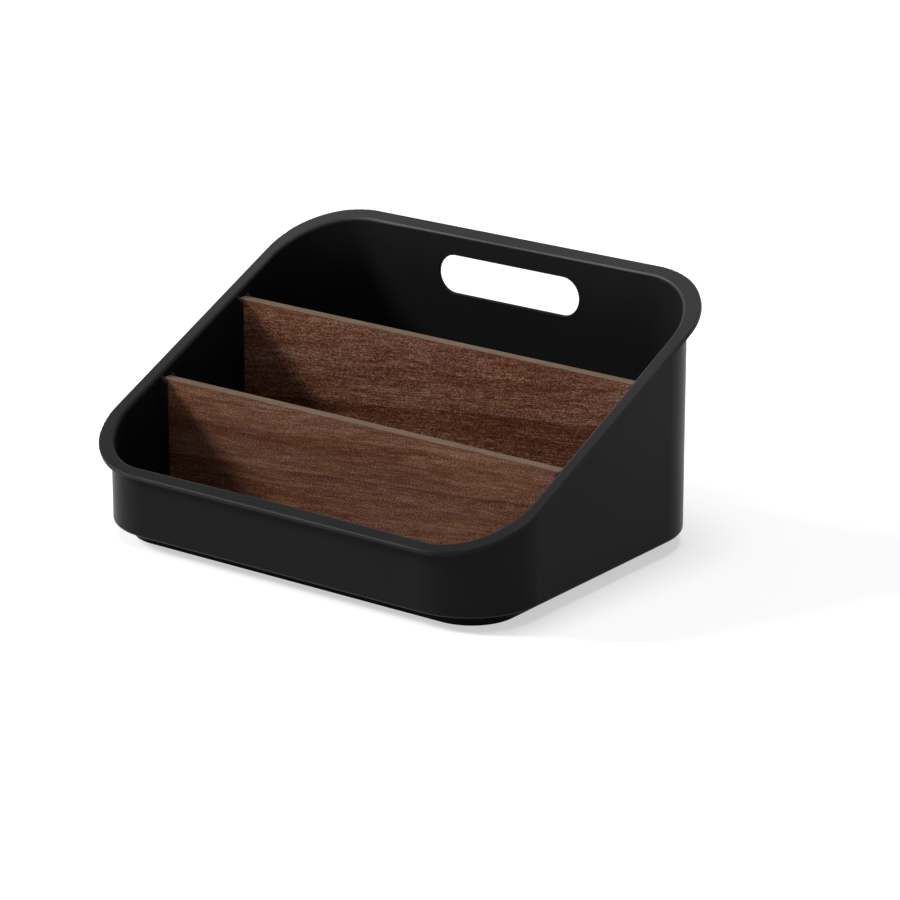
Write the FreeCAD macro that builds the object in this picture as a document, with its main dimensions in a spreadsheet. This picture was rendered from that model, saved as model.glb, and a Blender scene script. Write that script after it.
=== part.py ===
"""Countertop caddy: a moulded tub with a sloping rim and two lift-out wooden dividers.

Frame: +X to the right along the front, +Y to the back, +Z up.
The origin is at the centre of the footprint, on the surface the caddy stands on.
All lengths are millimetres.
"""
import FreeCAD, Part
import Sketcher
import math
import os

ORIGIN_POINT = (-1, 1)
NEAR = 0.01

doc = FreeCAD.newDocument("caddy")

# ---------------------------------------------------------------- driving sizes
SIZES = [
    # tub, outside
    ("width", 292.0),
    ("depth", 222.5),
    ("front_height", 45.5),
    ("back_height", 147.5),
    ("wall_thickness", 2.4),
    ("wall_corner", 44.0),
    ("base_round", 2.0),
    # floor and foot ring
    ("floor_thickness", 2.6),
    ("floor_bevel", 2.2),
    ("foot_height", 8.0),
    ("foot_inset", 13.5),
    ("foot_corner", 26.0),
    ("foot_wall", 3.0),
    # sloping rim
    ("rim_overhang", 5.5),
    ("rim_thickness", 2.8),
    ("rim_corner", 47.0),
    ("rim_blend", 2.2),
    ("rim_outer_round", 0.9),
    ("rim_inner_round", 3.2),
    # hand slot in the back wall
    ("slot_length", 97.6),
    ("slot_height", 22.4),
    ("slot_drop", 26.7),
    ("slot_bevel", 0.6),
    # dividers
    ("divider_thickness", 6.0),
    ("divider_spacing", 67.5),
    ("divider_drop", 5.6),
    ("divider_end_gap", 0.5),
    ("divider_floor_gap", 0.2),
    ("divider_corner_gap", 0.8),
    ("divider_bevel", 0.4),
    # guide ribs that hold the divider ends
    ("guide_gap", 0.25),
    ("rib_depth", 3.5),
    ("rib_thickness", 2.0),
    ("rib_rise", 1.1),
    ("rib_lead", 3.0),
]

sizes = doc.addObject("Spreadsheet::Sheet", "Sizes")
for row, (alias, value) in enumerate(SIZES, start=1):
    sizes.set(f"A{row}", alias)
    sizes.set(f"B{row}", str(value))
    sizes.setAlias(f"B{row}", alias)
doc.recompute()


def size(alias):
    """Return a driving size as a plain number."""
    return float(getattr(sizes, alias))


# ------------------------------------------------- sizes worked out from the sheet
RISE = "(Sizes.back_height - Sizes.front_height)"
SLOPE_LENGTH = f"sqrt(Sizes.depth^2 + {RISE}^2)"
RIM_MIDDLE = "((Sizes.front_height + Sizes.back_height) / 2)"
RIM_TILT = f"atan({RISE} / Sizes.depth)"
WALL_WIDTH = "(Sizes.width - 2 * Sizes.rim_overhang)"
WALL_DEPTH = f"(Sizes.depth - 2 * Sizes.rim_overhang * Sizes.depth / {SLOPE_LENGTH})"
INNER_WIDTH = f"({WALL_WIDTH} - 2 * Sizes.wall_thickness)"
INNER_DEPTH = f"({WALL_DEPTH} - 2 * Sizes.wall_thickness)"
INNER_CORNER = "(Sizes.wall_corner - Sizes.wall_thickness)"
FOOT_WIDTH = f"({WALL_WIDTH} - 2 * Sizes.foot_inset)"
FOOT_DEPTH = f"({WALL_DEPTH} - 2 * Sizes.foot_inset)"
FLOOR_TOP = "(Sizes.foot_height + Sizes.floor_thickness)"
CHANNEL_WIDTH = "(Sizes.divider_thickness + 2 * Sizes.guide_gap)"
DIVIDER_BOTTOM = f"({FLOOR_TOP} + Sizes.divider_floor_gap)"


def divider_place(side):
    """Y of a divider's middle plane; side is -1 for the front one and 1 for the rear one."""
    return f"({side} * Sizes.divider_spacing / 2)"


def divider_top(side):
    """Height of a divider's top edge, a fixed drop below the rim plane at its middle."""
    return f"({RIM_MIDDLE} + {divider_place(side)} * {RISE} / Sizes.depth - Sizes.divider_drop)"


def evaluate(expression):
    """Work out an expression over the sheet as a plain number."""
    return float(sizes.evalExpression(expression))


rise = evaluate(RISE)
slope_length = evaluate(SLOPE_LENGTH)
rim_middle = evaluate(RIM_MIDDLE)
wall_outline = (evaluate(WALL_WIDTH), evaluate(WALL_DEPTH), size("wall_corner"))
inner_outline = (evaluate(INNER_WIDTH), evaluate(INNER_DEPTH), evaluate(INNER_CORNER))
floor_top = evaluate(FLOOR_TOP)


def below_rim(point):
    """Distance of a point below the sloping rim plane, measured square to it."""
    vertical = rim_middle + point.y * rise / size("depth") - point.z
    return vertical * size("depth") / slope_length


def outside(point, outline):
    """Plan distance of a point outside a centred rounded rectangle; negative inside."""
    width, depth, corner = outline
    across = abs(point.x) - width / 2 + corner
    along = abs(point.y) - depth / 2 + corner
    if across > 0 and along > 0:
        return math.hypot(across, along) - corner
    return max(across, along) - corner


# ------------------------------------------------------------------ sketch helpers
def origin_plane(body, role):
    """Return one of the body's own origin planes."""
    return next(item for item in body.Origin.OriginFeatures if item.Role == role)


def new_sketch(body, name, role, height=None):
    """Attach a sketch to an origin plane, raised by an expression where one is given."""
    sketch = body.newObject("Sketcher::SketchObject", name)
    sketch.AttachmentSupport = [(origin_plane(body, role), "")]
    sketch.MapMode = "FlatFace"
    if height:
        sketch.setExpression("AttachmentOffset.Base.z", height)
    return sketch


def tilt_to_rim(sketch):
    """Turn a sketch from the XY plane into the sloping rim plane."""
    turn = FreeCAD.Rotation(FreeCAD.Vector(1, 0, 0), math.degrees(math.atan2(rise, size("depth"))))
    sketch.AttachmentOffset = FreeCAD.Placement(FreeCAD.Vector(0, 0, rim_middle), turn)
    sketch.setExpression("AttachmentOffset.Base.z", RIM_MIDDLE)
    sketch.setExpression("AttachmentOffset.Rotation.Angle", RIM_TILT)


def measure(sketch, name, kind, *references, value, expression):
    """Add a named dimension and bind it to the sheet."""
    index = sketch.addConstraint(Sketcher.Constraint(kind, *references, value))
    sketch.renameConstraint(index, name)
    sketch.setExpression(f"Constraints.{name}", expression)


def rounded_rectangle(sketch, name, width, depth, corner):
    """Draw a rounded rectangle centred on the sketch origin, from three expressions."""
    half_w = evaluate(width) / 2
    half_d = evaluate(depth) / 2
    radius = evaluate(corner)
    vector = FreeCAD.Vector
    normal = vector(0, 0, 1)
    inner_w = half_w - radius
    inner_d = half_d - radius
    first = sketch.GeometryCount
    corners = [
        (inner_w, -inner_d, -90),
        (inner_w, inner_d, 0),
        (-inner_w, inner_d, 90),
        (-inner_w, -inner_d, 180),
    ]
    for x, y, start in corners:
        circle = Part.Circle(vector(x, y, 0), normal, radius)
        sketch.addGeometry(Part.ArcOfCircle(circle, math.radians(start), math.radians(start + 90)), False)
    sides = [
        (vector(-inner_w, -half_d, 0), vector(inner_w, -half_d, 0)),
        (vector(half_w, -inner_d, 0), vector(half_w, inner_d, 0)),
        (vector(inner_w, half_d, 0), vector(-inner_w, half_d, 0)),
        (vector(-half_w, inner_d, 0), vector(-half_w, -inner_d, 0)),
    ]
    for start_point, end_point in sides:
        sketch.addGeometry(Part.LineSegment(start_point, end_point), False)
    line = first + 4
    for index in range(4):
        arc = first + index
        following = line + (index + 1) % 4
        sketch.addConstraint(Sketcher.Constraint("Tangent", line + index, 2, arc, 1))
        sketch.addConstraint(Sketcher.Constraint("Tangent", arc, 2, following, 1))
        direction = "Horizontal" if index % 2 == 0 else "Vertical"
        sketch.addConstraint(Sketcher.Constraint(direction, line + index))
    for index in range(1, 4):
        sketch.addConstraint(Sketcher.Constraint("Equal", first, first + index))
    sketch.addConstraint(Sketcher.Constraint("Symmetric", first, 3, first + 2, 3, *ORIGIN_POINT))
    measure(sketch, f"{name}_width", "DistanceX", line + 2, 2, line + 2, 1, value=2 * inner_w,
            expression=f"{width} - 2 * {corner}")
    measure(sketch, f"{name}_depth", "DistanceY", line + 1, 1, line + 1, 2, value=2 * inner_d,
            expression=f"{depth} - 2 * {corner}")
    measure(sketch, f"{name}_corner", "Radius", first, value=radius, expression=corner)


def rectangle(sketch, name, left, right, low, high):
    """Draw an upright rectangle from four expressions for its sides."""
    bounds = [evaluate(edge) for edge in (left, right, low, high)]
    corners = [
        FreeCAD.Vector(bounds[0], bounds[2], 0),
        FreeCAD.Vector(bounds[1], bounds[2], 0),
        FreeCAD.Vector(bounds[1], bounds[3], 0),
        FreeCAD.Vector(bounds[0], bounds[3], 0),
    ]
    first = sketch.GeometryCount
    for index in range(4):
        sketch.addGeometry(Part.LineSegment(corners[index], corners[(index + 1) % 4]), False)
    for index in range(4):
        following = first + (index + 1) % 4
        sketch.addConstraint(Sketcher.Constraint("Coincident", first + index, 2, following, 1))
        direction = "Horizontal" if index % 2 == 0 else "Vertical"
        sketch.addConstraint(Sketcher.Constraint(direction, first + index))
    measure(sketch, f"{name}_left", "DistanceX", *ORIGIN_POINT, first, 1, value=bounds[0], expression=left)
    measure(sketch, f"{name}_right", "DistanceX", *ORIGIN_POINT, first + 1, 1, value=bounds[1],
            expression=right)
    measure(sketch, f"{name}_low", "DistanceY", *ORIGIN_POINT, first, 1, value=bounds[2], expression=low)
    measure(sketch, f"{name}_high", "DistanceY", *ORIGIN_POINT, first + 2, 1, value=bounds[3],
            expression=high)


def stadium(sketch, name, length, height, centre):
    """Draw a slot with round ends on the vertical axis, from three expressions."""
    radius = evaluate(height) / 2
    reach = evaluate(length) / 2 - radius
    middle = evaluate(centre)
    normal = FreeCAD.Vector(0, 0, 1)
    right_end = Part.Circle(FreeCAD.Vector(reach, middle, 0), normal, radius)
    left_end = Part.Circle(FreeCAD.Vector(-reach, middle, 0), normal, radius)
    low = (FreeCAD.Vector(-reach, middle - radius, 0), FreeCAD.Vector(reach, middle - radius, 0))
    high = (FreeCAD.Vector(reach, middle + radius, 0), FreeCAD.Vector(-reach, middle + radius, 0))
    sketch.addGeometry(Part.LineSegment(*low), False)
    sketch.addGeometry(Part.ArcOfCircle(right_end, math.radians(-90), math.radians(90)), False)
    sketch.addGeometry(Part.LineSegment(*high), False)
    sketch.addGeometry(Part.ArcOfCircle(left_end, math.radians(90), math.radians(270)), False)
    for index in range(4):
        sketch.addConstraint(Sketcher.Constraint("Tangent", index, 2, (index + 1) % 4, 1))
    sketch.addConstraint(Sketcher.Constraint("Horizontal", 0))
    measure(sketch, f"{name}_reach_right", "DistanceX", *ORIGIN_POINT, 1, 3, value=reach,
            expression=f"({length} - {height}) / 2")
    measure(sketch, f"{name}_reach_left", "DistanceX", 3, 3, *ORIGIN_POINT, value=reach,
            expression=f"({length} - {height}) / 2")
    measure(sketch, f"{name}_centre", "DistanceY", *ORIGIN_POINT, 1, 3, value=middle, expression=centre)
    measure(sketch, f"{name}_radius", "Radius", 1, value=radius, expression=f"{height} / 2")


# ----------------------------------------------------------------- feature helpers
def pad(body, sketch, name, length, reverse=False):
    """Pad a sketch by an expression."""
    feature = body.newObject("PartDesign::Pad", name)
    feature.Profile = sketch
    feature.Reversed = reverse
    feature.setExpression("Length", length)
    doc.recompute()
    return feature


def pocket(body, sketch, name, length, reverse=False):
    """Cut a sketch away by an expression, and make sure that it cuts."""
    volume_before = body.Shape.Volume
    feature = body.newObject("PartDesign::Pocket", name)
    feature.Profile = sketch
    feature.Reversed = reverse
    feature.setExpression("Length", length)
    doc.recompute()
    if body.Shape.Volume >= volume_before:
        raise RuntimeError(f"{name} cuts nothing")
    return feature


def find_edges(shape, test):
    """Names of the edges whose ends and middle all pass a test on a point."""
    names = []
    for index, edge in enumerate(shape.Edges, start=1):
        first, last = edge.ParameterRange
        points = [edge.valueAt(first + (last - first) * share) for share in (0.0, 0.3, 0.5, 1.0)]
        if all(test(point) for point in points):
            names.append(f"Edge{index}")
    return names


def soften(body, name, radius, test, kind="Fillet"):
    """Round or chamfer the edges of the body's tip that pass a test."""
    base = body.Tip
    names = find_edges(base.Shape, test)
    if not names:
        raise RuntimeError(f"{name} finds no edge")
    feature = body.newObject(f"PartDesign::{kind}", name)
    feature.Base = (base, names)
    feature.setExpression("Radius" if kind == "Fillet" else "Size", radius)
    doc.recompute()
    return feature


def near(value, target):
    """True where two lengths agree."""
    return abs(value - target) < NEAR


# ------------------------------------------------------------------------- the tub
def build_tub():
    """Walls cut off by the sloping rim plane, a rim flange, a cavity, ribs and a foot ring."""
    body = doc.addObject("PartDesign::Body", "Tub")
    body.Label = "caddy_tub"
    build_walls(body)
    build_rim(body)
    build_foot(body)
    build_hand_slot(body)
    for side, place in ((-1, "Front"), (1, "Rear")):
        build_guides(body, side, place)
    return body


def build_walls(body):
    """Outer wall block, trimmed by the rim plane."""
    walls = new_sketch(body, "WallOutline", "XY_Plane", "Sizes.foot_height")
    rounded_rectangle(walls, "wall", WALL_WIDTH, WALL_DEPTH, "Sizes.wall_corner")
    pad(body, walls, "WallPad", "Sizes.back_height")
    trim = new_sketch(body, "RimPlaneTrim", "XY_Plane")
    tilt_to_rim(trim)
    rectangle(trim, "trim", "-Sizes.width", "Sizes.width", f"-{SLOPE_LENGTH}", SLOPE_LENGTH)
    pocket(body, trim, "RimPlaneCut", "2 * Sizes.back_height", reverse=True)
    soften(body, "BaseRound", "Sizes.base_round", on_base_edge)


def on_base_edge(point):
    """Bottom outer edge of the walls."""
    return near(point.z, size("foot_height")) and near(outside(point, wall_outline), 0)


def build_rim(body):
    """Flat flange in the rim plane, blended into the walls below it, then the cavity."""
    outline = new_sketch(body, "RimOutline", "XY_Plane")
    tilt_to_rim(outline)
    rounded_rectangle(outline, "rim", "Sizes.width", SLOPE_LENGTH, "Sizes.rim_corner")
    pad(body, outline, "RimFlange", "Sizes.rim_thickness", reverse=True)
    soften(body, "RimBlend", "Sizes.rim_blend", under_rim_at_wall)
    soften(body, "RimOuterRound", "Sizes.rim_outer_round", on_rim_outer_edge)
    cavity = new_sketch(body, "CavityOutline", "XY_Plane", FLOOR_TOP)
    rounded_rectangle(cavity, "cavity", INNER_WIDTH, INNER_DEPTH, INNER_CORNER)
    pocket(body, cavity, "Cavity", "Sizes.back_height", reverse=True)
    soften(body, "RimInnerRound", "Sizes.rim_inner_round", on_rim_inner_edge)
    soften(body, "FloorBevel", "Sizes.floor_bevel", on_floor_edge, kind="Chamfer")


def under_rim_at_wall(point):
    """Corner between the underside of the flange and the walls."""
    return near(below_rim(point), size("rim_thickness")) and near(outside(point, wall_outline), 0)


def on_rim_outer_edge(point):
    """Upper outer edge of the flange."""
    return near(below_rim(point), 0) and outside(point, wall_outline) > NEAR


def on_rim_inner_edge(point):
    """Edge between the top of the rim and the cavity."""
    return near(below_rim(point), 0) and near(outside(point, inner_outline), 0)


def on_floor_edge(point):
    """Corner between the floor and the inside of the walls."""
    return near(point.z, floor_top) and near(outside(point, inner_outline), 0)


def build_foot(body):
    """Ring under the floor that the caddy stands on, set in from the walls."""
    ring = new_sketch(body, "FootOutline", "XY_Plane")
    rounded_rectangle(ring, "foot", FOOT_WIDTH, FOOT_DEPTH, "Sizes.foot_corner")
    rounded_rectangle(ring, "foot_inside", f"({FOOT_WIDTH} - 2 * Sizes.foot_wall)",
                      f"({FOOT_DEPTH} - 2 * Sizes.foot_wall)", "(Sizes.foot_corner - Sizes.foot_wall)")
    pad(body, ring, "FootRing", "Sizes.foot_height + Sizes.floor_thickness / 2")


def build_hand_slot(body):
    """Long hole with round ends through the back wall."""
    slot = new_sketch(body, "HandSlotOutline", "XZ_Plane")
    stadium(slot, "slot", "Sizes.slot_length", "Sizes.slot_height", "(Sizes.back_height - Sizes.slot_drop)")
    pocket(body, slot, "HandSlot", "Sizes.depth")
    soften(body, "SlotBevel", "Sizes.slot_bevel", on_slot_edge, kind="Chamfer")


def on_slot_edge(point):
    """Both edges of the hand slot."""
    on_face = near(point.y, wall_outline[1] / 2) or near(point.y, inner_outline[1] / 2)
    level = abs(point.z - size("back_height") + size("slot_drop"))
    in_height = level <= size("slot_height") / 2 + NEAR
    return on_face and in_height and abs(point.x) <= size("slot_length") / 2 + NEAR


def build_guides(body, side, place):
    """Pairs of upright ribs on both side walls, one pair for each end of a divider."""
    sketch = new_sketch(body, f"{place}GuideOutline", "XY_Plane", FLOOR_TOP)
    middle = divider_place(side)
    root = f"({INNER_WIDTH} / 2 + Sizes.wall_thickness / 2)"
    tip = f"({INNER_WIDTH} / 2 - Sizes.rib_depth)"
    channel_front = f"{middle} - {CHANNEL_WIDTH} / 2"
    channel_back = f"{middle} + {CHANNEL_WIDTH} / 2"
    faces = {
        "before": (f"{channel_front} - Sizes.rib_thickness", channel_front),
        "behind": (channel_back, f"{channel_back} + Sizes.rib_thickness"),
    }
    for name, (low, high) in faces.items():
        rectangle(sketch, f"{name}_left", f"-{root}", f"-{tip}", low, high)
        rectangle(sketch, f"{name}_right", tip, root, low, high)
    rib_top = f"({divider_top(side)} + Sizes.rib_rise)"
    pad(body, sketch, f"{place}Guides", f"{rib_top} - {FLOOR_TOP}")
    top = evaluate(rib_top)
    reach = evaluate(tip)

    def on_lead_edge(point):
        return near(point.z, top) and near(abs(point.x), reach)

    soften(body, f"{place}GuideLead", "Sizes.rib_lead", on_lead_edge, kind="Chamfer")


# -------------------------------------------------------------------- the dividers
def build_divider(label, side):
    """A wooden board that slides down between the guide ribs and stands on the floor."""
    body = doc.addObject("PartDesign::Body", label.title().replace("_", ""))
    body.Label = label
    length = f"({INNER_WIDTH} - 2 * Sizes.divider_end_gap)"
    height = f"({divider_top(side)} - {DIVIDER_BOTTOM})"
    face = new_sketch(body, f"{label}_face", "XZ_Plane")
    rectangle(face, "board", f"-{length} / 2", f"{length} / 2", "0", height)
    board = pad(body, face, f"{label}_board", "Sizes.divider_thickness")
    board.Midplane = True
    doc.recompute()
    half_length = evaluate(length) / 2
    board_height = evaluate(height)

    def on_bottom_corner(point):
        return near(point.z, 0) and near(abs(point.x), half_length)

    def on_long_edge(point):
        return near(point.z, board_height) and near(abs(point.y), size("divider_thickness") / 2)

    corner = "Sizes.floor_bevel + Sizes.divider_corner_gap"
    soften(body, f"{label}_corner", corner, on_bottom_corner, kind="Chamfer")
    soften(body, f"{label}_bevel", "Sizes.divider_bevel", on_long_edge, kind="Chamfer")
    body.setExpression("Placement.Base.y", divider_place(side))
    body.setExpression("Placement.Base.z", DIVIDER_BOTTOM)
    doc.recompute()
    return body


# ---------------------------------------------------------------- build and export
bodies = [
    build_tub(),
    build_divider("front_divider", -1),
    build_divider("rear_divider", 1),
]
doc.recompute()

for item in doc.Objects:
    if "Invalid" in item.State or "Error" in item.State:
        raise RuntimeError(f"{item.Name} did not build: {item.State}")
for body in bodies:
    if body.Shape.isNull() or not body.Shape.isValid() or len(body.Shape.Solids) != 1:
        raise RuntimeError(f"{body.Label} is not one valid solid")

os.makedirs("parts", exist_ok=True)
for body in bodies:
    body.Shape.exportStep(f"parts/{body.Label}.step")
    box = body.Shape.BoundBox
    print(f"{body.Label}: {box.XLength:.2f} x {box.YLength:.2f} x {box.ZLength:.2f} mm, "
          f"z {box.ZMin:.2f} to {box.ZMax:.2f}, volume {body.Shape.Volume / 1000:.1f} cm3")
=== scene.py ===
"""Looks of the countertop caddy: satin black moulded plastic, walnut veneer and a pale studio."""
import math

import bmesh
import bpy
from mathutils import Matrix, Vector


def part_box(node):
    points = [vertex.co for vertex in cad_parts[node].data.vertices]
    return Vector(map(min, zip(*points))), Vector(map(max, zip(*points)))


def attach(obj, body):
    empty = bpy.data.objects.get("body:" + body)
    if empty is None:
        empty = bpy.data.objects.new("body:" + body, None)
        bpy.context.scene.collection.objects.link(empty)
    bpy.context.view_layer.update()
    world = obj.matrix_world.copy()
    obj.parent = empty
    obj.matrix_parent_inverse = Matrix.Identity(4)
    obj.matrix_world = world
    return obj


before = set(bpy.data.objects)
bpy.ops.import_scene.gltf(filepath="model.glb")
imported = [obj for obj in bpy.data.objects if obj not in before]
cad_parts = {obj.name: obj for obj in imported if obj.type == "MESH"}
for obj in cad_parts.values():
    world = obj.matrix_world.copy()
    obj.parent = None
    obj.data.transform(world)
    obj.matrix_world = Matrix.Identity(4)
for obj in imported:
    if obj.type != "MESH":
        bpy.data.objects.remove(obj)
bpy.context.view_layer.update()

# ------------------------------------------------------------------------- camera
CAMERA_AZIMUTH = math.radians(36.82)
CAMERA_ELEVATION = math.radians(18.56)
CAMERA_TARGET = Vector((0.030746, 0.007964, 0.054109))
CAMERA_DISTANCE = 2.14011
SENSOR_WIDTH = 36.0
LENS = 155.6
SIGHT_RANGE = 50.0

# ------------------------------------------------------------------------- lights
# each soft lamp: direction to it, strength and spread
LAMPS = {
    "key_left": (Vector((-1.5, -0.7, 1.0)), 2.6, math.radians(16)),
    "overhead": (Vector((0.0, 0.0, 1.0)), 1.28, math.radians(32)),
}
SKY_FILL = 0.11
WHITE = (1.0, 1.0, 1.0, 1.0)

# -------------------------------------------------------------------------- floor
FLOOR_HALF_SIZE = 4.0
FLOOR_COLOUR = (0.8, 0.8, 0.8, 1.0)
FLOOR_ROUGHNESS = 0.9
# the floor's own light to the eye
FLOOR_LIFT = 0.556

# -------------------------------------------------------------------------- noise
# nearly all of a noise's values lie in this range, round this middle
NOISE_RANGE = (0.3, 0.7)
NOISE_MIDDLE = 0.5

# ------------------------------------------------------------------------ plastic
# the tub's rim plane, from the sizes of the solid
RIM_MIDDLE_HEIGHT = 0.0965
RIM_RISE = 0.102
RIM_RUN = 0.2225
RIM_TILT = math.atan2(RIM_RISE, RIM_RUN)
RIM_REACH = 0.111
# the body's colours and shine
PLASTIC_DARK = (0.0138, 0.0138, 0.0139, 1.0)
PLASTIC_LIGHT = (0.0154, 0.0154, 0.0155, 1.0)
PLASTIC_GLOSS = 0.035
PLASTIC_ROUGHNESS = (0.30, 0.36)
# the cloud values between which the roughness changes
ROUGHNESS_RANGE = (0.25, 0.75)
# noise in the plastic: cycles in a metre, detail and roughness
CLOUD_NOISE = (24.0, 4.0, 0.6)
SPARK_NOISE = (2400.0, 2.0, 0.6)
# the spark texture's relief: strength and depth
SPARK_RELIEF = (0.25, 0.00004)
# worn edges: colour, how far wear reaches, how sharp an edge has to be, and how smooth it gets
WORN_EDGE = (0.03, 0.03, 0.0305, 1.0)
EDGE_RADIUS = 0.0009
EDGE_SHARPNESS = 0.86
EDGE_SAMPLES = 4
EDGE_POLISH = 0.06
WEAR_RANGE = (0.35, 0.65)
# painted light on the rim, a lighter flat top and painted highlights on its rounds: the colour where the
# painted light is full, and how much it varies from place to place
RIM_PAINTED_HIGHLIGHT = (0.14, 0.14, 0.141, 1.0)
PAINTED_LIGHT_UNEVENNESS = (0.9, 1.1)
# share of the painted light at the front and at the back, on the flat top and on the rounds
FLAT_PAINTED_LIGHT = (0.019, 0.179)
ROUND_PAINTED_HIGHLIGHT = (0.37, 1.1)
# towards the left end the flat gets more painted light and the painted light reaches deeper, over this
# stretch
LEFT_SIDE = (-0.135, -0.06)
LEFT_FLAT_GAIN = 1.4
# half lengths between which the painted highlight on the rounds fades to what is left of it in the
# corners
STRAIGHT_END = (0.085, 0.115)
CORNER_PAINTED_HIGHLIGHT = 0.3
# depths under the rim's plane: where the flat turns into the round, and where the painted light fades and
# ends
ROUND_STARTS = (0.00003, 0.0001)
PAINTED_LIGHT_FADES = 0.0006
PAINTED_LIGHT_ENDS = 0.00115
LEFT_PAINTED_LIGHT_ENDS = 0.0024

# ------------------------------------------------------------------------ rim lip
# half width, half depth and corner: the well's outline from above, the rim's flat top in its plane
WELL_OUTLINE = (0.1381, 0.10385, 0.0416)
RIM_TOP_OUTLINE = (0.14505, 0.121435, 0.04605)
# the lip's round along the straight front and back and along the sides, and how soon it grows
LIP_ROUND_ENDS = 0.0010
LIP_ROUND_SIDES = 0.0030
LIP_ROUND_GROWTH = 8
LIP_ROUND_STEPS = 10
SOLID_ROUND = 0.0032
CORNER_STEPS = 24
STRAIGHT_LOOPS = (0.02, 0.5, 0.98)
# the lip's faces start just clear of the solid's and run into them
LIP_TOP_RISE = 0.00006
LIP_TOP_SINK = 0.00002
LIP_WALL_RISE = 0.00003
LIP_WALL_SINK = 0.00008
LIP_RUN_ON = 0.0015
LIP_LOOP_GAP = 0.0003
# points inside the moulding: distance from the well's wall and depth under the rim
LIP_ROOT = (0.0009, 0.0017)
LIP_BEND = (0.0030, 0.0020)
LIP_BORDER_DEPTH = 0.0006
LIP_SHARP_ANGLE = math.radians(40)

# --------------------------------------------------------------------------- wood
WALNUT = (0.216, 0.0893, 0.0499)
# how strongly red, green and blue follow the tone, the tone at which the colour is WALNUT, how far
# the tone reaches from there, and the limit that pale wood nears
TONE_TINT = (0.67, 1.00, 1.23)
TONE_MIDDLE = 0.5
TONE_SPREAD = 4.0
PALEST_REACH = 1.6
# gloss, roughness from dark to pale wood, and relief as strength and depth
WOOD_GLOSS = 0.08
WOOD_ROUGHNESS = (0.62, 0.5)
GRAIN_RELIEF = (0.35, 0.00012)
# each noise in the wood is cycles in a metre along each axis, detail and roughness
# slow drift of the hue across the grain, from ruddy grey to ochre
COOL_TINT = (0.97, 0.985, 1.17, 1.0)
WARM_TINT = (1.04, 1.01, 0.82, 1.0)
HUE_NOISE = ((14.0, 60.0, 190.0), 4.0, 0.65)
# how far the grain strays from a straight line
GRAIN_WAVE = 0.002
WAVE_NOISE = ((9.0, 9.0, 16.0), 1.0, 0.5)
WAVE_RANGE = (0.2, 0.8)
# how far a ring's span goes on above its dark line, and the noise that breaks the line up
RING_GLOW = 0.35
RING_NOISE = ((16.0, 16.0, 60.0), 2.0, 0.5)
RING_RANGE = (0.25, 0.5)
# a ring's profile upwards: share of its span and darkness, where 0.5 is none
RING_PROFILE = [(0.0, 0.5), (0.35, 0.78), (0.735, 1.0), (0.745, 0.36), (1.0, 0.5)]
# the worn strip below a board's top edge: height and share of the strip's colour
WORN_STRIP = 0.003
STRIP_WEAR = 0.5
# display colours of the worn strip and of the cut top edge's darker and paler grain
STRIP_COLOUR = (104, 77, 66)
EDGE_DARK = (97, 79, 65)
EDGE_PALE = (120, 101, 85)
EDGE_NOISE = ((90.0, 900.0, 900.0), 3.0, 0.6)
# how far up a face points where it starts to count as the top edge, and where it does in full
TOP_FACING = (0.5, 0.8)
# the grain, from broad bands to fine flecks: noise and weight
GRAIN_LAYERS = [
    (((7.0, 20.0, 70.0), 3.0, 0.6), 0.55),
    (((40.0, 100.0, 500.0), 2.0, 0.6), 0.52),
    (((100.0, 500.0, 1700.0), 2.0, 0.6), 0.75),
    (((800.0, 900.0, 2300.0), 2.0, 0.6), 1.90),
]
# pores, and the noise values between which they fade out
PORE_NOISE = ((260.0, 900.0, 2100.0), 1.0, 0.5)
PORE_LIMITS = (0.30, 0.42)
PORE_DARKNESS = 0.18
# the shares of the tone at which the wood's colour is worked out
TONE_STOPS = (0.0, 0.2, 0.4, 0.6, 0.8, 1.0)
# the stretch over which a board darkens towards its right end
DARKENING = (0.0, 0.08)
# each board's figure: place in the noise, tilt of the grain, middle tone, what the tone loses to
# the right, contrast, and dark growth rings: height at the board's middle, width and strength
BOARDS = {
    "front_divider": {
        "shift": (3.1, 0.0, 7.7),
        "tilt": math.radians(4.8),
        "middle_tone": 0.528,
        "loss": 0.0,
        "contrast": 0.8,
        "rings": [
            (0.0638, 0.010, 0.10),
            (0.0424, 0.008, 0.14),
            (0.0340, 0.010, 0.10),
        ],
    },
    "rear_divider": {
        "shift": (11.3, 0.0, 1.9),
        "tilt": math.radians(6.6),
        "middle_tone": 0.508,
        "loss": 0.06,
        "contrast": 1.0,
        "rings": [
            (0.1020, 0.012, 0.08),
            (0.0860, 0.009, 0.07),
            (0.0643, 0.024, 0.22),
        ],
    },
}


# ------------------------------------------------------------------- node helpers
# the colour sockets of the mix node, by number because the same names come up for each data type
MIX_FACTOR = 0
MIX_FIRST = 6
MIX_SECOND = 7
MIX_RESULT = 2


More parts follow.
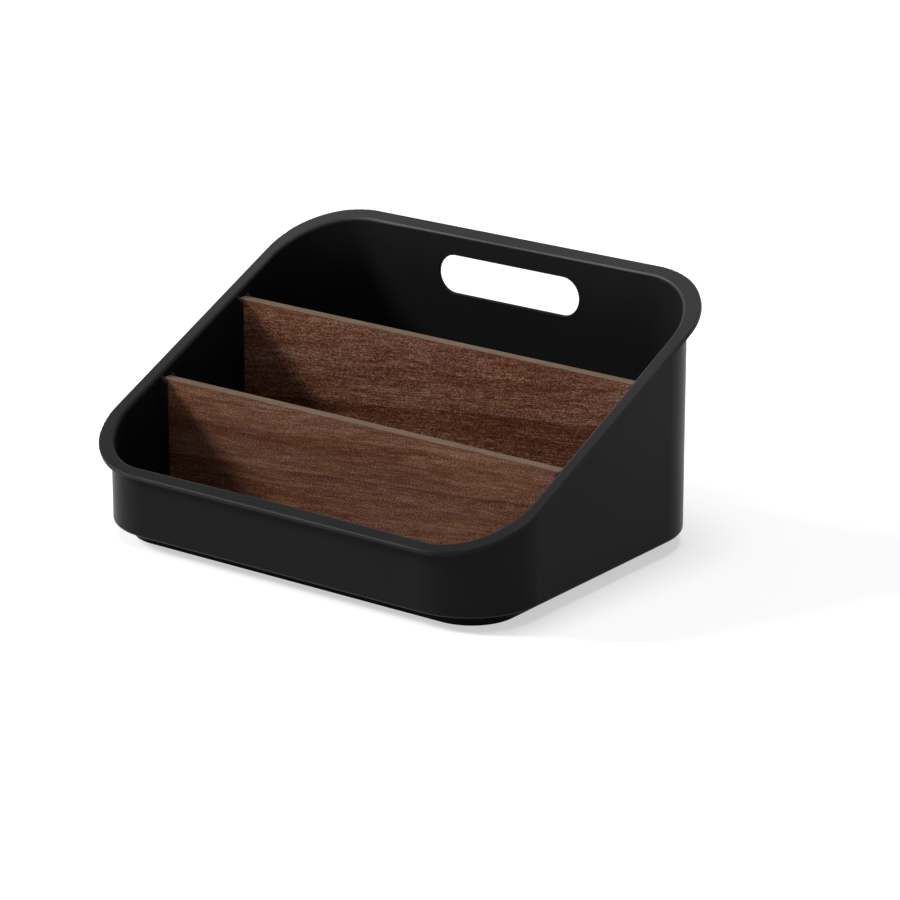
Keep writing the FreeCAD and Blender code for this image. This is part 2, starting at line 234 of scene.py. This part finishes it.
class Nodes:
    """A node tree with short calls for adding nodes and joining them."""

    def __init__(self, tree):
        self.tree = tree

    def add(self, kind, **settings):
        """Add a node and set its plain properties."""
        node = self.tree.nodes.new(kind)
        for name, value in settings.items():
            setattr(node, name, value)
        return node

    def feed(self, node, socket, value):
        """Join an output to a socket, or set the socket to a plain value."""
        target = node.inputs[socket]
        if isinstance(value, bpy.types.NodeSocket):
            self.tree.links.new(value, target)
        else:
            target.default_value = value

    def math(self, operation, first, second=0.0, third=None):
        """One arithmetic step."""
        node = self.add("ShaderNodeMath", operation=operation)
        self.feed(node, 0, first)
        self.feed(node, 1, second)
        if third is not None:
            self.feed(node, 2, third)
        return node.outputs[0]

    def scale(self, value, low, high, to_low=0.0, to_high=1.0, smooth=False):
        """Map a value from one range to another, held at the ends."""
        node = self.add("ShaderNodeMapRange", clamp=True)
        node.interpolation_type = "SMOOTHSTEP" if smooth else "LINEAR"
        self.feed(node, "Value", value)
        self.feed(node, "From Min", low)
        self.feed(node, "From Max", high)
        self.feed(node, "To Min", to_low)
        self.feed(node, "To Max", to_high)
        return node.outputs[0]

    def noise(self, vector, scale, detail, roughness):
        """A fractal noise value."""
        node = self.add("ShaderNodeTexNoise", noise_dimensions="3D")
        self.feed(node, "Vector", vector)
        self.feed(node, "Scale", scale)
        self.feed(node, "Detail", detail)
        self.feed(node, "Roughness", roughness)
        return node.outputs[0]

    def stretch(self, vector, factors, offset):
        """Scale a vector along each axis, then move it."""
        node = self.add("ShaderNodeMapping", vector_type="POINT")
        self.feed(node, "Vector", vector)
        self.feed(node, "Scale", factors)
        self.feed(node, "Location", offset)
        return node.outputs[0]

    def blend(self, factor, first, second, kind="MIX"):
        """Mix two colours."""
        node = self.add("ShaderNodeMix", data_type="RGBA", blend_type=kind)
        self.feed(node, MIX_FACTOR, factor)
        self.feed(node, MIX_FIRST, first)
        self.feed(node, MIX_SECOND, second)
        return node.outputs[MIX_RESULT]

    def split(self, vector):
        """The outputs X, Y and Z of a vector."""
        node = self.add("ShaderNodeSeparateXYZ")
        self.feed(node, 0, vector)
        return node.outputs

    def ramp(self, value, stops):
        """Colour ramp from a list of (position, colour)."""
        node = self.add("ShaderNodeValToRGB")
        elements = node.color_ramp.elements
        while len(elements) < len(stops):
            elements.new(0.5)
        for element, (position, colour) in zip(elements, stops):
            element.position = position
            element.color = (*colour, 1.0)
        self.feed(node, 0, value)
        return node.outputs[0]

    def bump(self, height, strength, distance):
        """A normal tilted by fine relief."""
        node = self.add("ShaderNodeBump")
        self.feed(node, "Strength", strength)
        self.feed(node, "Distance", distance)
        self.feed(node, "Height", height)
        return node.outputs[0]


def srgb(red, green, blue):
    """A colour given as display levels from 0 to 255, as linear values and full cover."""
    def linear(level):
        share = level / 255
        return share / 12.92 if share <= 0.04045 else ((share + 0.055) / 1.055) ** 2.4
    return (linear(red), linear(green), linear(blue), 1.0)


def new_material(name):
    """An empty node material with its shader and output joined."""
    material = bpy.data.materials.new(name)
    material.use_nodes = True
    material.node_tree.nodes.clear()
    nodes = Nodes(material.node_tree)
    shader = nodes.add("ShaderNodeBsdfPrincipled")
    output = nodes.add("ShaderNodeOutputMaterial")
    material.node_tree.links.new(shader.outputs[0], output.inputs[0])
    return material, nodes, shader


def edge_mask(nodes):
    """1 along convex and concave edges, 0 on open faces."""
    bevel = nodes.add("ShaderNodeBevel", samples=EDGE_SAMPLES)
    nodes.feed(bevel, "Radius", EDGE_RADIUS)
    geometry = nodes.add("ShaderNodeNewGeometry")
    product = nodes.add("ShaderNodeVectorMath", operation="DOT_PRODUCT")
    nodes.feed(product, 0, bevel.outputs[0])
    nodes.feed(product, 1, geometry.outputs["Normal"])
    return nodes.scale(product.outputs["Value"], 1.0, EDGE_SHARPNESS, smooth=True)


# ---------------------------------------------------------------------- materials
def painted_rim_light(nodes, place):
    """Painted light along the rim, least at the front: a faintly lighter flat top and clear painted
    highlights on the rounds.
    """
    point = nodes.split(place)
    across = point["X"]
    along = point["Y"]
    plane = nodes.math("MULTIPLY_ADD", along, math.sin(RIM_TILT), RIM_MIDDLE_HEIGHT * math.cos(RIM_TILT))
    depth = nodes.math("MULTIPLY_ADD", point["Z"], -math.cos(RIM_TILT), plane)
    flat = nodes.scale(along, -RIM_REACH, RIM_REACH, *FLAT_PAINTED_LIGHT)
    left = nodes.scale(across, *LEFT_SIDE, LEFT_FLAT_GAIN, 1.0)
    straight = nodes.scale(nodes.math("ABSOLUTE", across), *STRAIGHT_END, 1.0, CORNER_PAINTED_HIGHLIGHT)
    rounds = nodes.math("MULTIPLY", nodes.scale(along, -RIM_REACH, RIM_REACH, *ROUND_PAINTED_HIGHLIGHT), straight)
    painted_light_end = nodes.scale(across, *LEFT_SIDE, LEFT_PAINTED_LIGHT_ENDS, PAINTED_LIGHT_ENDS)
    painted_light = nodes.scale(depth, *ROUND_STARTS, nodes.math("MULTIPLY", flat, left), rounds)
    return nodes.math("MULTIPLY", painted_light, nodes.scale(depth, PAINTED_LIGHT_FADES, painted_light_end, 1.0, 0.0))


def make_plastic():
    """Satin black plastic with the fine spark texture of a steel mould."""
    material, nodes, shader = new_material("satin_black_plastic")
    place = nodes.add("ShaderNodeTexCoord").outputs["Object"]
    cloud = nodes.noise(place, *CLOUD_NOISE)
    spark = nodes.noise(place, *SPARK_NOISE)
    wear = nodes.math("MULTIPLY", edge_mask(nodes), nodes.scale(cloud, *WEAR_RANGE))
    # painted light on the rim: a lighter flat top and painted highlights on its rounds, varied a little
    # by the cloud
    painted_light = nodes.math("MULTIPLY", painted_rim_light(nodes, place), nodes.scale(cloud, *NOISE_RANGE, *PAINTED_LIGHT_UNEVENNESS))
    body = nodes.blend(nodes.scale(cloud, *NOISE_RANGE), PLASTIC_DARK, PLASTIC_LIGHT)
    # the rim's painted light and highlights blended into the body colour
    body = nodes.blend(painted_light, body, RIM_PAINTED_HIGHLIGHT)
    nodes.feed(shader, "Base Color", nodes.blend(wear, body, WORN_EDGE))
    rough = nodes.scale(cloud, *ROUGHNESS_RANGE, *PLASTIC_ROUGHNESS)
    polish = nodes.math("MULTIPLY", wear, EDGE_POLISH)
    nodes.feed(shader, "Roughness", nodes.math("SUBTRACT", rough, polish))
    nodes.feed(shader, "Specular IOR Level", PLASTIC_GLOSS)
    nodes.feed(shader, "Normal", nodes.bump(spark, *SPARK_RELIEF))
    return material


def walnut_tone(share):
    """Linear walnut colour from the darkest pore, 0, to the palest fleck, 1."""
    reach = TONE_SPREAD * (share - TONE_MIDDLE)
    if reach > 0:
        reach = PALEST_REACH * math.tanh(reach / PALEST_REACH)
    return tuple(level * math.exp(tint * reach) for level, tint in zip(WALNUT, TONE_TINT))


def figure_noise(nodes, space, shift, noise):
    """Noise with its own cycles along each axis, from (cycles, detail, roughness)."""
    cycles, detail, roughness = noise
    return nodes.noise(nodes.stretch(space, cycles, shift), 1.0, detail, roughness)


def grain_space(nodes, place, shift, tilt):
    """Coordinates that run along the tilted, gently waving grain."""
    turn = nodes.add("ShaderNodeVectorRotate", rotation_type="Y_AXIS")
    nodes.feed(turn, "Vector", place)
    nodes.feed(turn, "Angle", tilt)
    wave = figure_noise(nodes, turn.outputs[0], shift, WAVE_NOISE)
    lift = nodes.add("ShaderNodeCombineXYZ")
    nodes.feed(lift, "Z", nodes.scale(wave, *WAVE_RANGE, -GRAIN_WAVE, GRAIN_WAVE))
    warped = nodes.add("ShaderNodeVectorMath", operation="ADD")
    nodes.feed(warped, 0, turn.outputs[0])
    nodes.feed(warped, 1, lift.outputs[0])
    return warped.outputs[0]


def growth_rings(nodes, grain, rings, shift):
    """Dark rings: a crisp upper edge with a paler line above, fading out downwards."""
    height = nodes.split(grain)["Z"]
    profile = [(share, (level, level, level)) for share, level in RING_PROFILE]
    total = 0.0
    for index, (top, width, strength) in enumerate(rings):
        span = nodes.scale(height, top - width, top + RING_GLOW * width)
        ring = nodes.math("MULTIPLY_ADD", nodes.ramp(span, profile), 2 * strength, -strength)
        patch = figure_noise(nodes, grain, (shift[2] + index, 0.0, 0.0), RING_NOISE)
        total = nodes.math("MULTIPLY_ADD", ring, nodes.scale(patch, *RING_RANGE), total)
    return total


def make_walnut(name, top, shift, tilt, middle_tone, loss, contrast, rings):
    """Walnut veneer: growth rings, streaks, short flecks and pores, and a paler cut top edge."""
    material, nodes, shader = new_material(name)
    place = nodes.add("ShaderNodeTexCoord").outputs["Object"]
    grain = grain_space(nodes, place, shift, tilt)
    point = nodes.split(place)
    tone = nodes.scale(point["X"], *DARKENING, middle_tone, middle_tone - loss)
    for noise, weight in GRAIN_LAYERS:
        layer = figure_noise(nodes, grain, shift, noise)
        swing = nodes.math("MULTIPLY_ADD", layer, weight * contrast, -NOISE_MIDDLE * weight * contrast)
        tone = nodes.math("ADD", tone, swing)
    pores = figure_noise(nodes, grain, shift, PORE_NOISE)
    tone = nodes.math("SUBTRACT", tone, nodes.scale(pores, *PORE_LIMITS, PORE_DARKNESS * contrast, 0.0))
    tone = nodes.math("SUBTRACT", tone, growth_rings(nodes, grain, rings, shift))
    colour = nodes.ramp(tone, [(share, walnut_tone(share)) for share in TONE_STOPS])
    drift = figure_noise(nodes, grain, shift, HUE_NOISE)
    hue = nodes.blend(nodes.scale(drift, *NOISE_RANGE), COOL_TINT, WARM_TINT)
    colour = nodes.blend(1.0, colour, hue, kind="MULTIPLY")
    worn = nodes.scale(point["Z"], top - WORN_STRIP, top, 0.0, STRIP_WEAR, smooth=True)
    colour = nodes.blend(worn, colour, srgb(*STRIP_COLOUR))
    facing = nodes.split(nodes.add("ShaderNodeNewGeometry").outputs["Normal"])
    edge_grain = figure_noise(nodes, place, shift, EDGE_NOISE)
    edge = nodes.blend(nodes.scale(edge_grain, *NOISE_RANGE), srgb(*EDGE_DARK), srgb(*EDGE_PALE))
    on_top = nodes.scale(facing["Z"], *TOP_FACING)
    nodes.feed(shader, "Base Color", nodes.blend(on_top, colour, edge))
    nodes.feed(shader, "Roughness", nodes.scale(tone, *NOISE_RANGE, *WOOD_ROUGHNESS))
    nodes.feed(shader, "Specular IOR Level", WOOD_GLOSS)
    nodes.feed(shader, "Normal", nodes.bump(tone, *GRAIN_RELIEF))
    return material


def seen_directly(nodes):
    """1 for camera, glossy and transmission rays, 0 for the rays that light the object."""
    path = nodes.add("ShaderNodeLightPath").outputs
    either = nodes.math("MAXIMUM", path["Is Camera Ray"], path["Is Glossy Ray"])
    return nodes.math("MAXIMUM", either, path["Is Transmission Ray"])


def make_floor_material():
    """Pale diffuse floor with a little light of its own to the eye, so that it reads white."""
    material, nodes, shader = new_material("pale_floor")
    nodes.feed(shader, "Base Color", FLOOR_COLOUR)
    nodes.feed(shader, "Roughness", FLOOR_ROUGHNESS)
    nodes.feed(shader, "Specular IOR Level", 0.0)
    nodes.feed(shader, "Emission Color", WHITE)
    nodes.feed(shader, "Emission Strength", nodes.math("MULTIPLY", seen_directly(nodes), FLOOR_LIFT))
    return material


# -------------------------------------------------------------------------- stage
def make_floor():
    """A flat floor under the object."""
    half = FLOOR_HALF_SIZE
    mesh = bpy.data.meshes.new("floor")
    corners = [(-half, -half, 0), (half, -half, 0), (half, half, 0), (-half, half, 0)]
    mesh.from_pydata(corners, [], [(0, 1, 2, 3)])
    mesh.materials.append(make_floor_material())
    floor = bpy.data.objects.new("floor", mesh)
    bpy.context.scene.collection.objects.link(floor)


def make_world():
    """White to the eye and in reflections; a faint even sky as light."""
    world = bpy.data.worlds.new("studio")
    bpy.context.scene.world = world
    world.use_nodes = True
    world.node_tree.nodes.clear()
    nodes = Nodes(world.node_tree)
    sky = nodes.add("ShaderNodeBackground")
    nodes.feed(sky, "Color", WHITE)
    nodes.feed(sky, "Strength", SKY_FILL)
    backdrop = nodes.add("ShaderNodeBackground")
    nodes.feed(backdrop, "Color", WHITE)
    nodes.feed(backdrop, "Strength", 1.0)
    mix = nodes.add("ShaderNodeMixShader")
    nodes.feed(mix, 0, seen_directly(nodes))
    nodes.feed(mix, 1, sky.outputs[0])
    nodes.feed(mix, 2, backdrop.outputs[0])
    output = nodes.add("ShaderNodeOutputWorld")
    nodes.feed(output, 0, mix.outputs[0])


def make_lamps():
    """Soft lamps from the upper left and from overhead."""
    for name, (direction, strength, spread) in LAMPS.items():
        light = bpy.data.lights.new(name, "SUN")
        light.energy = strength
        light.angle = spread
        lamp = bpy.data.objects.new(name, light)
        lamp.rotation_euler = direction.to_track_quat("Z", "Y").to_euler()
        bpy.context.scene.collection.objects.link(lamp)


def make_camera():
    """The camera at the measured viewing angle."""
    data = bpy.data.cameras.new("camera")
    data.sensor_fit = "HORIZONTAL"
    data.sensor_width = SENSOR_WIDTH
    data.lens = LENS
    data.clip_end = SIGHT_RANGE
    camera = bpy.data.objects.new("camera", data)
    level = math.cos(CAMERA_ELEVATION)
    away = Vector((
        math.sin(CAMERA_AZIMUTH) * level,
        -math.cos(CAMERA_AZIMUTH) * level,
        math.sin(CAMERA_ELEVATION),
    ))
    camera.location = CAMERA_TARGET + away * CAMERA_DISTANCE
    camera.rotation_euler = away.to_track_quat("Z", "Y").to_euler()
    bpy.context.scene.collection.objects.link(camera)
    bpy.context.scene.camera = camera


# ------------------------------------------------------------------- rim lip mesh
def rounded_outline(half_width, half_depth, corner):
    """Points anticlockwise round a rectangle with round corners."""
    arcs = []
    for quarter, (side, end) in enumerate([(1, 1), (-1, 1), (-1, -1), (1, -1)]):
        middle = Vector((side * (half_width - corner), end * (half_depth - corner)))
        arc = []
        for step in range(CORNER_STEPS + 1):
            angle = (quarter + step / CORNER_STEPS) * math.pi / 2
            arc.append(middle + corner * Vector((math.cos(angle), math.sin(angle))))
        arcs.append(arc)
    points = []
    for arc, following in zip(arcs, arcs[1:] + arcs[:1]):
        points += arc
        points += [arc[-1].lerp(following[0], share) for share in STRAIGHT_LOOPS]
    return points


def lip_section(reach, facing):
    """Distance from the well's wall and height over the rim plane's edge, round the lip's section.

    facing is how far the section points to the back, from -1 to 1.
    """
    slope = facing * math.tan(RIM_TILT)
    lean = math.atan(slope)
    bend_radius = LIP_ROUND_SIDES + (LIP_ROUND_ENDS - LIP_ROUND_SIDES) * abs(facing) ** LIP_ROUND_GROWTH
    half_edge = math.pi / 4 + lean / 2
    solid_end = SOLID_ROUND / math.tan(half_edge)
    middle = Vector((
        bend_radius - LIP_WALL_RISE,
        LIP_TOP_RISE + slope * (bend_radius - LIP_WALL_RISE) - bend_radius / math.cos(lean),
    ))
    start = math.pi / 2 + lean
    bend = []
    for step in range(LIP_ROUND_STEPS + 1):
        angle = start + (math.pi - start) * step / LIP_ROUND_STEPS
        bend.append(middle + bend_radius * Vector((math.cos(angle), math.sin(angle))))
    along = LIP_LOOP_GAP * Vector((math.cos(lean), math.sin(lean)))
    down = Vector((0.0, -LIP_LOOP_GAP))
    return [
        Vector((reach, slope * reach - LIP_TOP_SINK)),
        bend[0] + along,
        *bend,
        bend[-1] + down,
        Vector((LIP_WALL_SINK, -solid_end - LIP_RUN_ON)),
        Vector((LIP_ROOT[0], -solid_end - LIP_ROOT[1])),
        Vector((LIP_BEND[0], slope * LIP_BEND[0] - LIP_BEND[1])),
        Vector((reach, slope * reach - LIP_BORDER_DEPTH)),
    ]


def make_rim_lip(plastic):
    """The rim's crisp inner lip, a ring that fills the soft round of the solid and follows its plane."""
    mesh = bmesh.new()
    well = rounded_outline(*WELL_OUTLINE)
    top = [Vector((point.x, point.y * math.cos(RIM_TILT))) for point in rounded_outline(*RIM_TOP_OUTLINE)]
    sections = []
    for inner, outer in zip(well, top):
        outward = (outer - inner).normalized()
        edge_height = RIM_MIDDLE_HEIGHT + inner.y * math.tan(RIM_TILT)
        section = []
        for distance, height in lip_section((outer - inner).length, outward.y):
            place = inner + distance * outward
            section.append(mesh.verts.new((place.x, place.y, edge_height + height)))
        sections.append(section)
    for here, there in zip(sections, sections[1:] + sections[:1]):
        for first, second in zip(range(len(here)), [*range(1, len(here)), 0]):
            mesh.faces.new((here[first], there[first], there[second], here[second]))
    bmesh.ops.recalc_face_normals(mesh, faces=mesh.faces)
    data = bpy.data.meshes.new("rim_lip")
    mesh.to_mesh(data)
    mesh.free()
    data.shade_smooth()
    data.set_sharp_from_angle(angle=LIP_SHARP_ANGLE)
    data.materials.append(plastic)
    lip = bpy.data.objects.new("rim_lip", data)
    bpy.context.scene.collection.objects.link(lip)
    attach(lip, "tub")


# ----------------------------------------------------------------------- assembly
def dress(node, material):
    """Give a CAD node its material."""
    for material_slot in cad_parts[node].material_slots:
        material_slot.material = material


bpy.context.scene.view_settings.view_transform = "Standard"
make_camera()
make_floor()
make_world()
make_lamps()
plastic = make_plastic()
dress("caddy_tub", plastic)
make_rim_lip(plastic)
for board, figure in BOARDS.items():
    board_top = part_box(board)[1][2]
    dress(board, make_walnut(f"{board}_walnut", board_top, **figure))
